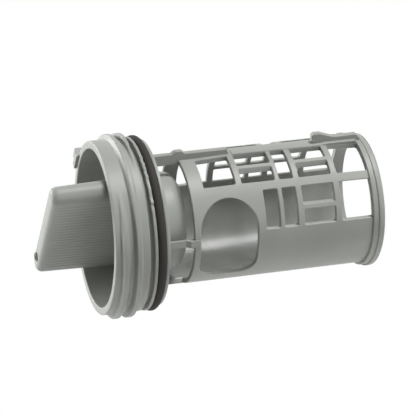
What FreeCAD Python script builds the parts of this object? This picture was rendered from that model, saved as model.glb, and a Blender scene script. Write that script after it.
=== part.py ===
import FreeCAD, Part
import math
import os
import Sketcher

# Drain filter of a washing machine: a threaded cap with a grip bar across its cup,
# a sealing ring in the cap's groove, and a slotted cage that snaps onto the cap and turns on it.
# The filter's axis is X. X = 0 is the rear face of the cap's sealing flange, the grip points
# to -X and the open end of the cage to +X. +Z is the top of the cage, -Y its inlet side.
# Angles round the axis start at the top (+Z) and grow towards -Y. Lengths are millimetres.

SIZES = [
    # cap
    ("cap_depth", 18.0, "rim of the cup to the rear face of the flange"),
    ("skirt_radius", 28.3, "outside of the threaded skirt"),
    ("rim_wall", 2.5, "wall of the cup at its rim"),
    ("cup_draft", 1.4, "how much the cup narrows from rim to floor, on the radius"),
    ("rim_round", 0.7, "bevel of the rim's edges"),
    ("flange_thick", 1.05, "rear flange that holds the sealing ring"),
    ("flange_step", 1.0, "rear flange inside the skirt's radius"),
    ("floor_thick", 2.2, "floor of the cup"),
    ("groove_depth", 2.6, "floor of the sealing groove inside the skirt's radius"),
    ("groove_width", 3.1, "sealing groove along the axis"),
    ("collar_rise", 0.1, "collar in front of the sealing groove outside the skirt's radius"),
    ("collar_width", 1.05, "collar along the axis"),
    ("relief_depth", 1.8, "narrow groove in front of the collar, its floor inside the skirt's radius"),
    ("relief_width", 1.4, "narrow groove along the axis"),
    ("dome_gap", 3.5, "gap between the dome and the inside of the cage"),
    ("dome_height", 9.6, "rear face of the dome behind the flange"),
    ("dome_round", 4.0, "rounding of the dome's edge, turned in three facets"),
    ("dome_wall", 2.0, "wall of the dome"),
    # thread
    ("thread_height", 1.65, "crest of the thread above the skirt"),
    ("thread_pitch", 4.1, "pitch of the thread"),
    ("thread_turns", 1.96, "turns of the thread"),
    ("thread_start", 2.85, "first turn's centre behind the rim"),
    ("thread_start_angle", 42.0, "where the thread starts"),
    ("thread_crest", 1.4, "width of the crest"),
    ("thread_flank", 0.75, "width of each sloping flank"),
    ("thread_fade", 17.6, "offset of the circle that fades each end of the thread"),
    # grip
    ("grip_height", 34.9, "front face of the grip in front of the flange's rear face"),
    ("grip_inset", 7.3, "centre of each rounded end of the grip inside the skirt's radius"),
    ("grip_thick", 6.6, "thickness of the grip at its front"),
    ("grip_offset", 1.2, "how far the grip lies off the axis"),
    ("grip_angle", 36.0, "turn of the grip from the vertical"),
    ("grip_draft", 1.5, "draft of the grip's faces"),
    ("grip_round", 1.6, "bevel of the grip's front edges"),
    ("dimple_radius", 1.65, "round dimple in the grip's front face"),
    ("dimple_depth", 0.7, "depth of the dimple"),
    ("dimple_inset", 0.7, "dimple inside the centre of the grip's lower rounded end"),
    # stop lug on the rim
    ("lug_angle", -60.5, "middle of the stop lug"),
    ("lug_width", 6.6, "lug along the rim"),
    ("lug_rise", 2.3, "outside of the lug above the skirt"),
    ("lug_length", 3.5, "lug along the axis"),
    ("lug_front", 1.0, "lug in front of the rim"),
    ("lug_notch", 1.3, "depth of the notch in the lug's lower half"),
    # sealing ring
    ("seal_section", 1.5, "radius of the sealing ring's section"),
    ("seal_clear", 0.05, "gap between the sealing ring and its groove"),
    # snap joint between cap and cage
    ("neck_step", 0.4, "neck that the cage's front ring turns on, outside the dome's radius"),
    ("neck_fit", 0.05, "gap between neck and front ring, on the radius"),
    ("end_play", 0.08, "gap on each side of the front ring along the axis"),
    ("bead_rise", 0.6, "how far the snap bead stands out from the neck"),
    ("bead_width", 1.3, "snap bead along the axis"),
    ("ring_thick", 1.1, "front ring of the cage along the axis"),
    ("ring_step", 1.3, "outside of the front ring inside the rear flange's radius"),
    # cage
    ("cage_length", 73.9, "open end of the cage behind the flange"),
    ("cage_radius", 21.2, "outside of the cage"),
    ("cage_wall", 1.7, "wall of the cage"),
    ("throat", 9.9, "front edge of the cage's first band"),
    ("band", 4.9, "width of the first band"),
    ("cell_one", 10.6, "first window along the axis"),
    ("cell_two", 11.1, "second window along the axis"),
    ("cell_three", 4.6, "third window along the axis"),
    ("cell_four", 10.8, "fourth window along the axis"),
    ("cell_five", 10.4, "fifth window along the axis"),
    ("hoop_one", 2.1, "hoop behind the first window"),
    ("hoop_two", 1.5, "hoop behind the second window"),
    ("hoop_three", 2.0, "hoop behind the third window"),
    ("hoop_four", 2.1, "hoop behind the fourth window"),
    ("end_flange_rise", 1.4, "flange at the open end above the cage's outside"),
    ("end_flange_width", 2.0, "flange at the open end along the axis"),
    ("end_step_rise", 0.9, "smaller step in front of the end flange above the cage's outside"),
    ("end_step_width", 1.8, "smaller step along the axis"),
    ("row_tail", 0.1, "wall between the last window and the step"),
    # window rows, as angles on the cage's outside
    ("top_near", 7.0, "near edge of the top strip"),
    ("top_far", 9.0, "far edge of the top strip"),
    ("split_upper", 21.0, "upper edge of the upper row's split bar"),
    ("split_lower", 25.5, "lower edge of the upper row's split bar"),
    ("row_upper_end", 39.8, "lower edge of the upper window row"),
    ("row_lower_start", 48.0, "upper edge of the lower window row"),
    ("slat_upper", 64.5, "upper edge of the lower row's split bar"),
    ("slat_lower", 68.6, "lower edge of the lower row's split bar"),
    ("row_lower_end", 82.5, "lower edge of the lower window row"),
    ("near_cell", 4.8, "first window of the near lower row along the axis"),
    # inlet
    ("inlet_land", 2.1, "band in front of the inlet"),
    ("inlet_bar", 2.6, "bar between the inlet and the near lower row"),
    ("inlet_top", 13.2, "top of the inlet above the axis"),
    ("inlet_bottom", 13.6, "bottom of the inlet below the axis"),
    ("inlet_round_top", 7.0, "upper corners of the inlet"),
    ("inlet_round_bottom", 5.2, "lower corners of the inlet"),
    # gap between front ring and first band, and what crosses it
    ("gap_far_angle", 82.0, "far end of the gap"),
    ("gap_near_angle", 160.0, "near end of the gap"),
    ("spine_width", 2.0, "top spine across"),
    ("spine_rise", 2.0, "top of the spine above the cage's outside"),
    ("spine_run", 12.5, "rear end of the spine behind the first band"),
    ("bump_rise", 1.1, "bump above the spine's top"),
    ("bump_front", 7.6, "front foot of the bump"),
    ("bump_slope", 1.1, "length of each slope of the bump"),
    ("bump_length", 4.5, "bump along the axis, foot to foot"),
    ("arm_top", 1.7, "top of the side arm above the axis"),
    ("arm_height", 2.5, "side arm from top to bottom"),
    ("arm_inset", 0.9, "thin part of the side arm inside the cage's outside"),
    ("arm_lead", 1.9, "where the side arm grows thicker, in front of the first band"),
    ("tongue_width", 2.2, "locating rib at the open end, across"),
    ("tongue_reach", 19.0, "front of the locating rib's nose in front of the open end"),
    ("nose_rise", 4.9, "top of the nose above the cage's outside"),
    ("tongue_rise", 2.7, "top of the locating rib above the cage's outside"),
    ("tongue_nose_length", 2.4, "flat of the nose along the axis"),
    ("tongue_thick", 2.1, "thickness of the nose, which stands clear of the cage"),
    ("tongue_slope", 4.0, "length of the slope behind the nose"),
    ("tongue_tail", 3.1, "rear end of the rib's flat top, in front of the open end"),
    ("pip_side", 3.6, "small block beside the rib, off the middle plane"),
    ("pip_reach", 8.7, "front of the small block in front of the open end"),
    ("pip_length", 2.2, "small block along the axis"),
    ("pip_rise", 1.7, "top of the small block above the cage's outside"),
]

# Sizes that follow from others: what sits on the cap follows its skirt, what sits on the cage
# follows its outside, and the windows share the length left between the first band and the step.
FOLLOWERS = [
    ("thread_radius", "skirt_radius + thread_height"),
    ("collar_radius", "skirt_radius + collar_rise"),
    ("relief_radius", "skirt_radius - relief_depth"),
    ("groove_radius", "skirt_radius - groove_depth"),
    ("flange_radius", "skirt_radius - flange_step"),
    ("lug_radius", "skirt_radius + lug_rise"),
    ("grip_half_length", "skirt_radius - grip_inset"),
    ("dimple_station", "grip_half_length - dimple_inset"),
    ("dome_radius", "cage_radius - cage_wall - dome_gap"),
    ("neck_radius", "dome_radius + neck_step"),
    ("ring_radius", "flange_radius - ring_step"),
    ("end_flange_radius", "cage_radius + end_flange_rise"),
    ("end_step_radius", "cage_radius + end_step_rise"),
    ("row_start", "throat + band"),
    ("row_end", "cage_length - end_flange_width - end_step_width - row_tail"),
    ("row_parts", "cell_one + hoop_one + cell_two + hoop_two + cell_three + hoop_three"
                  " + cell_four + hoop_four + cell_five"),
    ("row_scale", "( row_end - row_start ) / row_parts"),
    ("near_row_start", "row_start + ( cell_one + hoop_one + cell_two - near_cell ) * row_scale"),
    ("inlet_front", "throat + inlet_land"),
    ("inlet_rear", "near_row_start - inlet_bar"),
    ("spine_top", "cage_radius + spine_rise"),
    ("spine_end", "row_start + spine_run * row_scale"),
    ("bump_top", "spine_top + bump_rise"),
    ("arm_step", "throat - arm_lead"),
    ("tongue_front", "cage_length - tongue_reach"),
    ("tongue_nose", "cage_radius + nose_rise"),
    ("tongue_top", "cage_radius + tongue_rise"),
    ("pip_front", "cage_length - pip_reach"),
    ("pip_top", "cage_radius + pip_rise"),
]

doc = FreeCAD.newDocument("drain_filter")
sheet = doc.addObject("Spreadsheet::Sheet", "dims")
for row, (alias, value, note) in enumerate(SIZES, 1):
    sheet.set("A%d" % row, alias)
    sheet.set("B%d" % row, str(value))
    sheet.set("C%d" % row, note)
    sheet.setAlias("B%d" % row, alias)
doc.recompute()
for row, (alias, formula) in enumerate(FOLLOWERS, len(SIZES) + 1):
    sheet.set("A%d" % row, alias)
    sheet.set("B%d" % row, "=" + formula)
    sheet.setAlias("B%d" % row, alias)
    doc.recompute()


def size(alias):
    """A driving dimension as the spreadsheet holds it."""
    return float(sheet.get(alias))


def tied(text):
    """Turn the size names in a formula into references to the spreadsheet."""
    names = [entry[0] for entry in SIZES + FOLLOWERS]
    words = text.split()
    formula = " ".join("dims." + word if word in names else word for word in words)
    return formula.replace("sin (", "sin(").replace("cos (", "cos(")


def plane(body, role):
    """One of the body's own origin planes."""
    return [item for item in body.Origin.OriginFeatures if item.Role == role][0]


def new_body(label):
    """An empty body with its own label and placement."""
    body = doc.addObject("PartDesign::Body", label)
    body.Label = label
    body.Placement = FreeCAD.Placement()
    return body


def new_sketch(body, role, label, along=None, turn=None, axis=FreeCAD.Vector(0, 0, 1)):
    """A sketch on an origin plane, moved along the plane's normal and turned about the given axis."""
    sketch = body.newObject("Sketcher::SketchObject", label)
    sketch.AttachmentSupport = [(plane(body, role), "")]
    sketch.MapMode = "FlatFace"
    if turn:
        sketch.AttachmentOffset = FreeCAD.Placement(FreeCAD.Vector(), FreeCAD.Rotation(axis, 30))
        sketch.setExpression("AttachmentOffset.Rotation.Angle", tied(turn))
    if along:
        sketch.setExpression("AttachmentOffset.Base.z", tied(along))
    return sketch


def pin(sketch, geometry, end, across, up):
    """Fix a point of the sketch at a formula for each coordinate, None meaning on that axis."""
    if across is None:
        sketch.addConstraint(Sketcher.Constraint("PointOnObject", geometry, end, -2))
    else:
        here = sketch.getPoint(geometry, end).x
        spot = sketch.addConstraint(Sketcher.Constraint("DistanceX", -1, 1, geometry, end, here))
        sketch.setExpression("Constraints[%d]" % spot, tied(across))
    height_at(sketch, geometry, end, up)


def height_at(sketch, geometry, end, up):
    """Fix how far up in the sketch a point is, None meaning on the sketch's own axis."""
    if up is None:
        sketch.addConstraint(Sketcher.Constraint("PointOnObject", geometry, end, -1))
    else:
        here = sketch.getPoint(geometry, end).y
        spot = sketch.addConstraint(Sketcher.Constraint("DistanceY", -1, 1, geometry, end, here))
        sketch.setExpression("Constraints[%d]" % spot, tied(up))


def outline(sketch, corners):
    """A closed outline of straight lines through corners given as formulas."""
    count = len(corners)
    first = sketch.GeometryCount
    ring = [(math.cos(2 * math.pi * i / count), math.sin(2 * math.pi * i / count)) for i in range(count)]
    for i in range(count):
        start = FreeCAD.Vector(ring[i][0], ring[i][1], 0)
        end = FreeCAD.Vector(ring[(i + 1) % count][0], ring[(i + 1) % count][1], 0)
        sketch.addGeometry(Part.LineSegment(start, end), False)
    for i in range(count):
        following = first + (i + 1) % count
        sketch.addConstraint(Sketcher.Constraint("Coincident", first + i, 2, following, 1))
    for i, (across, up) in enumerate(corners):
        pin(sketch, first + i, 1, across, up)


def box_outline(sketch, left, right, low, high):
    """A rectangle whose sides are given as formulas."""
    outline(sketch, [(left, low), (right, low), (right, high), (left, high)])


def rounded_outline(sketch, left, right, low, high, round_low, round_high):
    """A rectangle with one radius for its two lower corners and another for its two upper ones."""
    corners = [
        (left + " + " + round_low, low + " + " + round_low, round_low),
        (right + " - " + round_low, low + " + " + round_low, round_low),
        (right + " - " + round_high, high + " - " + round_high, round_high),
        (left + " + " + round_high, high + " - " + round_high, round_high),
    ]
    for i, (across, up) in enumerate([(14, -9), (26, -9), (26, 9), (14, 9)]):
        arc = Part.Circle(FreeCAD.Vector(across, up, 0), FreeCAD.Vector(0, 0, 1), 3)
        sketch.addGeometry(Part.ArcOfCircle(arc, math.pi * (1 + i / 2), math.pi * (1.5 + i / 2)), False)
    sides = [((14, -12), (26, -12)), ((29, -9), (29, 9)), ((26, 12), (14, 12)), ((11, 9), (11, -9))]
    for start, end in sides:
        sketch.addGeometry(Part.LineSegment(FreeCAD.Vector(*start, 0), FreeCAD.Vector(*end, 0)), False)
    for i, (across, up, radius) in enumerate(corners):
        sketch.addConstraint(Sketcher.Constraint("Coincident", i, 2, 4 + i, 1))
        sketch.addConstraint(Sketcher.Constraint("Coincident", 4 + i, 2, (i + 1) % 4, 1))
        height_at(sketch, i, 3, up)
    pin(sketch, 4, 1, corners[0][0], low)
    pin(sketch, 4, 2, corners[1][0], low)
    pin(sketch, 5, 1, right, corners[1][1])
    pin(sketch, 5, 2, right, corners[2][1])
    pin(sketch, 6, 1, corners[2][0], high)
    pin(sketch, 6, 2, corners[3][0], high)
    pin(sketch, 7, 1, left, corners[3][1])
    pin(sketch, 7, 2, left, corners[0][1])


def circle(sketch, across, up, radius):
    """A circle whose centre and radius are given as formulas."""
    index = sketch.addGeometry(Part.Circle(FreeCAD.Vector(1, 1, 0), FreeCAD.Vector(0, 0, 1), 2.0), False)
    pin(sketch, index, 3, across, up)
    spot = sketch.addConstraint(Sketcher.Constraint("Radius", index, 2.0))
    sketch.setExpression("Constraints[%d]" % spot, tied(radius))


def pad(body, sketch, label, length, back=False, middle=False, kind="PartDesign::Pad"):
    """Raise a sketch, or cut with it, over a length given as a formula."""
    feature = body.newObject(kind, label)
    feature.Profile = sketch
    feature.setExpression("Length", tied(length))
    feature.Reversed = back
    if middle:
        feature.SideType = "Symmetric"
    sketch.Visibility = False
    return feature


def pocket(body, sketch, label, length, back=False):
    """Cut with a sketch over a length given as a formula."""
    return pad(body, sketch, label, length, back, False, "PartDesign::Pocket")


def revolve(body, sketch, label):
    """Turn a sketch once round the filter's axis."""
    feature = body.newObject("PartDesign::Revolution", label)
    feature.Profile = sketch
    feature.ReferenceAxis = (sketch, ["H_Axis"])
    feature.Angle = 360.0
    sketch.Visibility = False
    return feature


def rings_at(feature, spots):
    """Names of the circular edges round the axis at the given (x, radius) pairs."""
    names = []
    for index, edge in enumerate(feature.Shape.Edges, 1):
        if not isinstance(edge.Curve, Part.Circle):
            continue
        for along, radius in spots:
            centre = edge.Curve.Center
            near = abs(centre.x - along) < 0.02 and math.hypot(centre.y, centre.z) < 0.02
            if near and abs(edge.Curve.Radius - radius) < 0.02:
                names.append("Edge%d" % index)
    return names


def bevel(body, feature, label, names, width):
    """Bevel the named edges by a width given as a formula."""
    chamfer = body.newObject("PartDesign::Chamfer", label)
    chamfer.Base = (feature, names)
    chamfer.setExpression("Size", tied(width))
    return chamfer


# The cap: one moulding, turned profile first.
cap = new_body("threaded_cap")
dome_edge = []
for turn in ("0", "30", "60", "90"):
    along = "dome_height - dome_round + dome_round * sin ( " + turn + " )"
    out = "dome_radius - dome_round + dome_round * cos ( " + turn + " )"
    dome_edge.append((along, out))
cap_profile = new_sketch(cap, "XZ_Plane", "cap_profile")
outline(cap_profile, [
    ("- cap_depth", "skirt_radius - rim_wall"),
    ("- cap_depth", "skirt_radius"),
    ("- flange_thick - groove_width - collar_width - relief_width", "skirt_radius"),
    ("- flange_thick - groove_width - collar_width - relief_width", "relief_radius"),
    ("- flange_thick - groove_width - collar_width", "relief_radius"),
    ("- flange_thick - groove_width - collar_width", "collar_radius"),
    ("- flange_thick - groove_width", "collar_radius"),
    ("- flange_thick - groove_width", "groove_radius"),
    ("- flange_thick", "groove_radius"),
    ("- flange_thick", "flange_radius"),
    (None, "flange_radius"),
    (None, "neck_radius"),
    ("ring_thick + 2 * end_play", "neck_radius"),
    ("ring_thick + 2 * end_play", "neck_radius + bead_rise"),
    ("ring_thick + 2 * end_play + bead_width", "dome_radius"),
] + dome_edge + [
    ("dome_height", None),
    ("dome_height - dome_wall", None),
    ("dome_height - dome_wall", "dome_radius - dome_wall"),
    ("- floor_thick", "dome_radius - dome_wall"),
    ("- floor_thick", "skirt_radius - rim_wall - cup_draft"),
])
cap_turned = revolve(cap, cap_profile, "cap_turned")
doc.recompute()
rim = [(-size("cap_depth"), size("skirt_radius") - size("rim_wall")), (-size("cap_depth"), size("skirt_radius"))]
rim_bevelled = bevel(cap, cap_turned, "rim_bevelled", rings_at(cap_turned, rim), "rim_round")

# The thread: a coarse rounded rib, right-handed, that fades into the skirt at both ends.
thread_section = new_sketch(cap, "XZ_Plane", "thread_section", None, "thread_start_angle", FreeCAD.Vector(1, 0, 0))
crest_front = "- cap_depth + thread_start - thread_crest / 2"
crest_rear = "- cap_depth + thread_start + thread_crest / 2"
outline(thread_section, [
    (crest_front + " - thread_flank - 0.3", "skirt_radius - 0.4"),
    (crest_rear + " + thread_flank + 0.3", "skirt_radius - 0.4"),
    (crest_rear, "thread_radius"),
    (crest_front, "thread_radius"),
])
thread = cap.newObject("PartDesign::AdditiveHelix", "thread")
thread.Profile = thread_section
thread.ReferenceAxis = (thread_section, ["H_Axis"])
thread.Mode = 1
thread.setExpression("Pitch", tied("thread_pitch"))
thread.setExpression("Turns", tied("thread_turns"))
thread_section.Visibility = False


def fade(label, angle, start, length):
    """Cut the thread's end with a circle off the axis, so that the crest sinks into the skirt."""
    sketch = new_sketch(cap, "YZ_Plane", label + "_circle", start, angle)
    circle(sketch, None, "- thread_fade", "skirt_radius + 0.02 + thread_fade")
    circle(sketch, None, "- thread_fade", "skirt_radius + 3 * thread_fade")
    return pocket(cap, sketch, label, length, True)


fade("thread_lead_in", "thread_start_angle", "- cap_depth + 0.01", "thread_start + thread_pitch / 2")
fade("thread_run_out", "thread_start_angle + 360 * thread_turns",
     "- cap_depth + thread_start + thread_pitch * ( thread_turns - 0.5 )",
     "cap_depth - thread_start - thread_pitch * ( thread_turns - 0.5 )"
     " - flange_thick - groove_width - collar_width")

# The stop lug on the far upper side of the rim, with a notch in its lower half.
lug_sketch = new_sketch(cap, "YZ_Plane", "lug_outline", "- cap_depth - lug_front", "lug_angle")
box_outline(lug_sketch, "- lug_width / 2", "lug_width / 2", "skirt_radius - rim_wall / 2", "lug_radius")
lug = pad(cap, lug_sketch, "lug", "lug_length")
notch_sketch = new_sketch(cap, "YZ_Plane", "lug_notch_outline", "- cap_depth - lug_front", "lug_angle")
box_outline(notch_sketch, "lug_width * 0.1", "lug_width * 0.4", "lug_radius - lug_notch", "lug_radius + 1")
lug_cut = pocket(cap, notch_sketch, "lug_cut", "lug_length * 0.7", True)


def grip_bar(body, label, thick, front, length, draft):
    """A drafted bar with round ends across the cup, from its front face to the cup's floor."""
    sketch = new_sketch(body, "YZ_Plane", label + "_section", front, "grip_angle")
    half = "( " + thick + " ) / 2"
    start = sketch.GeometryCount
    middle = size("grip_offset")
    reach = size("grip_thick") / 2
    end = size("grip_half_length")
    upper = Part.Circle(FreeCAD.Vector(middle, end, 0), FreeCAD.Vector(0, 0, 1), reach)
    lower = Part.Circle(FreeCAD.Vector(middle, -end, 0), FreeCAD.Vector(0, 0, 1), reach)
    left = middle - reach
    right = middle + reach
    sketch.addGeometry(Part.ArcOfCircle(upper, 0, math.pi), False)
    sketch.addGeometry(Part.ArcOfCircle(lower, math.pi, 2 * math.pi), False)
    sketch.addGeometry(Part.LineSegment(FreeCAD.Vector(left, end, 0), FreeCAD.Vector(left, -end, 0)), False)
    sketch.addGeometry(Part.LineSegment(FreeCAD.Vector(right, -end, 0), FreeCAD.Vector(right, end, 0)), False)
    sketch.addConstraint([
        Sketcher.Constraint("Coincident", start, 2, start + 2, 1),
        Sketcher.Constraint("Coincident", start, 1, start + 3, 2),
        Sketcher.Constraint("Coincident", start + 1, 1, start + 2, 2),
        Sketcher.Constraint("Coincident", start + 1, 2, start + 3, 1),
    ])
    height_at(sketch, start, 3, "grip_half_length")
    height_at(sketch, start + 1, 3, "- grip_half_length")
    pin(sketch, start + 2, 1, "grip_offset - " + half, "grip_half_length")
    pin(sketch, start + 2, 2, "grip_offset - " + half, "- grip_half_length")
    pin(sketch, start + 3, 1, "grip_offset + " + half, "- grip_half_length")
    pin(sketch, start + 3, 2, "grip_offset + " + half, "grip_half_length")
    feature = pad(body, sketch, label, length)
    feature.setExpression("TaperAngle", tied(draft))
    return feature


# The grip: front edges bevelled, dimple near its lower end.
grip = grip_bar(cap, "grip", "grip_thick", "- grip_height", "grip_height - floor_thick / 2", "grip_draft")
doc.recompute()
front_edges = []
for index, edge in enumerate(grip.Shape.Edges, 1):
    if abs(edge.BoundBox.XMin + size("grip_height")) < 0.01 and abs(edge.BoundBox.XMax + size("grip_height")) < 0.01:
        front_edges.append("Edge%d" % index)
grip_bevelled = bevel(cap, grip, "grip_bevelled", front_edges, "grip_round")
dimple_sketch = new_sketch(cap, "YZ_Plane", "dimple_outline", "- grip_height", "grip_angle")
circle(dimple_sketch, "grip_offset", "- dimple_station", "dimple_radius")
dimple = pocket(cap, dimple_sketch, "dimple", "dimple_depth", True)
cap.Tip = dimple

# The sealing ring in the cap's groove, its round section drawn with eight sides.
seal = new_body("seal_ring")
seal_sketch = new_sketch(seal, "XZ_Plane", "seal_section_outline")
seal_sides = 8
seal_section = []
for side in range(seal_sides):
    turn = "( %d )" % (360 * side // seal_sides)
    along = "- flange_thick - groove_width / 2 + seal_section * cos " + turn
    out = "groove_radius + seal_clear + seal_section + seal_section * sin " + turn
    seal_section.append((along, out))
outline(seal_sketch, seal_section)
revolve(seal, seal_sketch, "seal_turned")

# The cage: one moulding, a tube with a front ring and an end flange, then its openings.
cage = new_body("filter_cage")
cage_profile = new_sketch(cage, "XZ_Plane", "cage_profile")
outline(cage_profile, [
    ("end_play", "neck_radius + neck_fit"),
    ("end_play", "ring_radius"),
    ("end_play + ring_thick", "ring_radius"),
    ("end_play + ring_thick", "cage_radius"),
    ("cage_length - end_flange_width - end_step_width", "cage_radius"),
    ("cage_length - end_flange_width - end_step_width", "end_step_radius"),
    ("cage_length - end_flange_width", "end_step_radius"),
    ("cage_length - end_flange_width", "end_flange_radius"),
    ("cage_length", "end_flange_radius"),
    ("cage_length", "cage_radius - cage_wall"),
    ("end_play + ring_thick", "cage_radius - cage_wall"),
    ("end_play + ring_thick", "neck_radius + neck_fit"),
])
revolve(cage, cage_profile, "cage_turned")

# Where each window starts and ends along the axis, front to back.
widths = ["cell_one", "hoop_one", "cell_two", "hoop_two", "cell_three", "hoop_three", "cell_four", "hoop_four", "cell_five"]
edges = ["row_start"]
for width in widths:
    edges.append(edges[-1] + " + " + width + " * row_scale")
cells = [(edges[i], edges[i + 1]) for i in range(0, len(edges) - 1, 2)]


def across(angle):
    """Sideways distance of a point at this angle on the cage's outside."""
    return "cage_radius * sin ( " + angle + " )"


def above(angle):
    """Height of a point at this angle on the cage's outside."""
    return "cage_radius * cos ( " + angle + " )"


# The upper rows on both sides are cut straight up, the second and fourth windows split by a bar.
upper_sketch = new_sketch(cage, "XY_Plane", "upper_windows")
for side, top_edge in (("-", "top_near"), ("", "top_far")):
    for number, (front, rear) in enumerate(cells):
        bands = [(top_edge, "row_upper_end")]
        if number in (1, 3):
            bands = [(top_edge, "split_upper"), ("split_lower", "row_upper_end")]
        for inner, outer in bands:
            box_outline(upper_sketch, front, rear, side + " " + across(inner), side + " " + across(outer))
pocket(cage, upper_sketch, "upper_windows_cut", "cage_radius * 2", True)

# The lower rows are cut from the side: near ones behind the inlet, far ones along the whole cage.
near_sketch = new_sketch(cage, "XZ_Plane", "near_windows")
for number, (front, rear) in enumerate(cells[1:], 1):
    if number == 1:
        front = "near_row_start"
    bands = [("row_lower_start", "row_lower_end")]
    if number == 3:
        bands = [("row_lower_start", "slat_upper"), ("slat_lower", "row_lower_end")]
    for higher, lower in bands:
        box_outline(near_sketch, front, rear, above(lower), above(higher))
pocket(cage, near_sketch, "near_windows_cut", "cage_radius * 2", True)

far_sketch = new_sketch(cage, "XZ_Plane", "far_windows")
for number, (front, rear) in enumerate(cells):
    bands = [("row_lower_start", "row_lower_end")]
    if number in (1, 2, 3):
        bands = [("row_lower_start", "slat_upper"), ("slat_lower", "row_lower_end")]
    for higher, lower in bands:
        box_outline(far_sketch, front, rear, above(lower), above(higher))
pocket(cage, far_sketch, "far_windows_cut", "cage_radius * 2")

# The inlet on the near side, a tall opening with round corners.
inlet_sketch = new_sketch(cage, "XZ_Plane", "inlet")
rounded_outline(inlet_sketch, "inlet_front", "inlet_rear", "- inlet_bottom", "inlet_top",
                "inlet_round_bottom * row_scale", "inlet_round_top * row_scale")
pocket(cage, inlet_sketch, "inlet_cut", "cage_radius * 2", True)

# The gap behind the front ring, open from the far side over the top to the near lower side.
gap_sketch = new_sketch(cage, "YZ_Plane", "throat_gap", "end_play + ring_thick")
reach = "cage_radius * 3"
outline(gap_sketch, [
    (None, None),
    (reach + " * sin ( gap_far_angle )", reach + " * cos ( gap_far_angle )"),
    (reach, reach),
    ("- " + reach, reach),
    ("- " + reach, "- " + reach),
    ("- " + reach + " * sin ( gap_near_angle )", reach + " * cos ( gap_near_angle )"),
])
pocket(cage, gap_sketch, "throat_gap_cut", "throat - end_play - ring_thick", True)

# The spine along the top carries the front ring and has a bump over the first band.
spine_foot = "cage_radius - cage_wall * 0.9"
spine_sketch = new_sketch(cage, "XZ_Plane", "spine_outline")
outline(spine_sketch, [
    ("end_play + ring_thick / 2", spine_foot),
    ("end_play + ring_thick / 2", "spine_top"),
    ("bump_front", "spine_top"),
    ("bump_front + bump_slope", "bump_top"),
    ("bump_front + bump_length - bump_slope", "bump_top"),
    ("bump_front + bump_length", "spine_top"),
    ("spine_end - 1.2", "spine_top"),
    ("spine_end", "cage_radius - cage_wall / 2"),
    ("spine_end", spine_foot),
])
pad(cage, spine_sketch, "spine", "spine_width", False, True)

# The side arm on the near side, thicker where it meets the band.
arm_end = "( throat + inlet_front ) / 2"
arm_sketch = new_sketch(cage, "XY_Plane", "arm_outline", "arm_top - arm_height")
outline(arm_sketch, [
    ("end_play + ring_thick / 2", "- cage_radius + cage_wall * 0.9"),
    ("end_play + ring_thick / 2", "- cage_radius + arm_inset"),
    ("arm_step - 1", "- cage_radius + arm_inset"),
    ("arm_step + 0.6", "- cage_radius + 0.15"),
    (arm_end, "- cage_radius + 0.15"),
    (arm_end, "- cage_radius + cage_wall * 0.9"),
])
pad(cage, arm_sketch, "arm", "arm_height")

# The locating rib at the open end, with its raised nose, and the small block beside it.
tongue_foot = "cage_radius - cage_wall / 2"
slope_foot = "tongue_front + tongue_nose_length + tongue_slope"
tongue_sketch = new_sketch(cage, "XZ_Plane", "tongue_outline")
outline(tongue_sketch, [
    ("tongue_front + 0.3", "tongue_nose - tongue_thick"),
    ("tongue_front", "tongue_nose - tongue_thick * 0.4"),
    ("tongue_front + tongue_nose_length / 3", "tongue_nose"),
    ("tongue_front + tongue_nose_length", "tongue_nose"),
    (slope_foot, "tongue_top + 0.2"),
    (slope_foot + " + 1.6", "tongue_top"),
    ("cage_length - tongue_tail", "tongue_top"),
    ("cage_length - end_flange_width - 0.1", "end_flange_radius - 0.3"),
    ("cage_length - end_flange_width - 0.1", tongue_foot),
    (slope_foot + " + 0.6", tongue_foot),
    (slope_foot, "tongue_top + 0.2 - tongue_thick"),
    ("tongue_front + tongue_nose_length - 0.3", "tongue_nose - tongue_thick"),
])
pad(cage, tongue_sketch, "tongue", "tongue_width", False, True)
pip_sketch = new_sketch(cage, "XY_Plane", "pip_outline", "cage_radius - cage_wall / 2")
box_outline(pip_sketch, "pip_front", "pip_front + pip_length", "pip_side - 1.1", "pip_side")
pip = pad(cage, pip_sketch, "pip", "pip_top - cage_radius + cage_wall / 2")
cage.Tip = pip

doc.recompute()
for item in doc.Objects:
    if "Invalid" in item.State or "Error" in item.State:
        raise RuntimeError("%s did not build: %s" % (item.Label, item.State))

NODES = [cap, seal, cage]
for node in NODES:
    shape = node.Shape
    if shape.isNull() or not shape.isValid():
        raise RuntimeError("%s has no valid shape" % node.Label)
    print(node.Label, "solids", len(shape.Solids), "faces", len(shape.Faces), "volume", round(shape.Volume, 1))

os.makedirs("parts", exist_ok=True)
for node in NODES:
    node.Shape.exportStep("parts/%s.step" % node.Label)
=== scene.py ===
"""Looks of the drain filter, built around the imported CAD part. Lengths here are metres."""

import math

import bmesh
import bpy
import numpy
from mathutils import Matrix, Vector
from mathutils.geometry import delaunay_2d_cdt


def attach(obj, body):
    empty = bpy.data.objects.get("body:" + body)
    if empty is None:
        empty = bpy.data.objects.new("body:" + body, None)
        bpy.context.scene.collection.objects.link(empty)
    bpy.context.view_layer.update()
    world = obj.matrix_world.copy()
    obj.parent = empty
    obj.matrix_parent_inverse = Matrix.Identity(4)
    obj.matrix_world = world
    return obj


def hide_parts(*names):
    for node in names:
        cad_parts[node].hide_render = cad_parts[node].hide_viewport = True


MM = 0.001
WELD = 0.00001
SHARP_ANGLE = 35.0

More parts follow.
